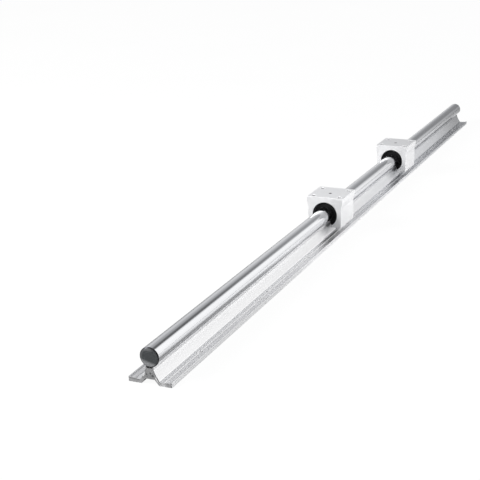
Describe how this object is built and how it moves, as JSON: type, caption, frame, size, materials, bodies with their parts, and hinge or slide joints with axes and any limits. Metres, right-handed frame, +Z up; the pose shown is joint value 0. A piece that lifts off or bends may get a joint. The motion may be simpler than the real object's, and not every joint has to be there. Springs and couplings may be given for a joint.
{
  "type": "supported round rail",
  "caption": "Round steel guide shaft bolted along an aluminium support extrusion with flanges, carrying sliding open linear-bearing blocks.",
  "frame": {"origin": "middle of the rail's length and width, on the plane of the flanges' underside", "axes": "+X along the shaft towards the far end, +Y across the rail towards the clamp-screw side of the blocks, +Z up to the blocks' tops"},
  "size_m": [1.2, 0.048, 0.05],
  "materials": {
    "shaft_steel": "hardened, ground and polished",
    "rail_aluminium": "as extruded, satin, saw-cut ends",
    "block_aluminium": "pale satin, milled ends",
    "bearing_steel": "ground",
    "ball_steel": "polished",
    "cage_resin": "moulded",
    "seal_rubber": "matt",
    "black_screw": "black oxide"
  },
  "bodies": {
    "rail": {"guide_shaft": "shaft_steel", "support_rail": "rail_aluminium", "shaft_screws": "black_screw"},
    "near_block": {"near_housing": "block_aluminium", "near_bearing_sleeve": "bearing_steel", "near_ball_cage": "cage_resin", "near_balls": "ball_steel", "near_end_seal_a": "seal_rubber", "near_end_seal_b": "seal_rubber", "near_clamp_screw": "black_screw"},
    "far_block": {"far_housing": "block_aluminium", "far_bearing_sleeve": "bearing_steel", "far_ball_cage": "cage_resin", "far_balls": "ball_steel", "far_end_seal_a": "seal_rubber", "far_end_seal_b": "seal_rubber", "far_clamp_screw": "black_screw"}
  },
  "joints": [
    {"name": "near_block_slide", "type": "slide", "parent": "rail", "child": "near_block", "axis": [1, 0, 0], "range_m": [-0.478, 0.127]},
    {"name": "far_block_slide", "type": "slide", "parent": "rail", "child": "far_block", "axis": [1, 0, 0], "range_m": [-0.127, 0.3675]}
  ]
}
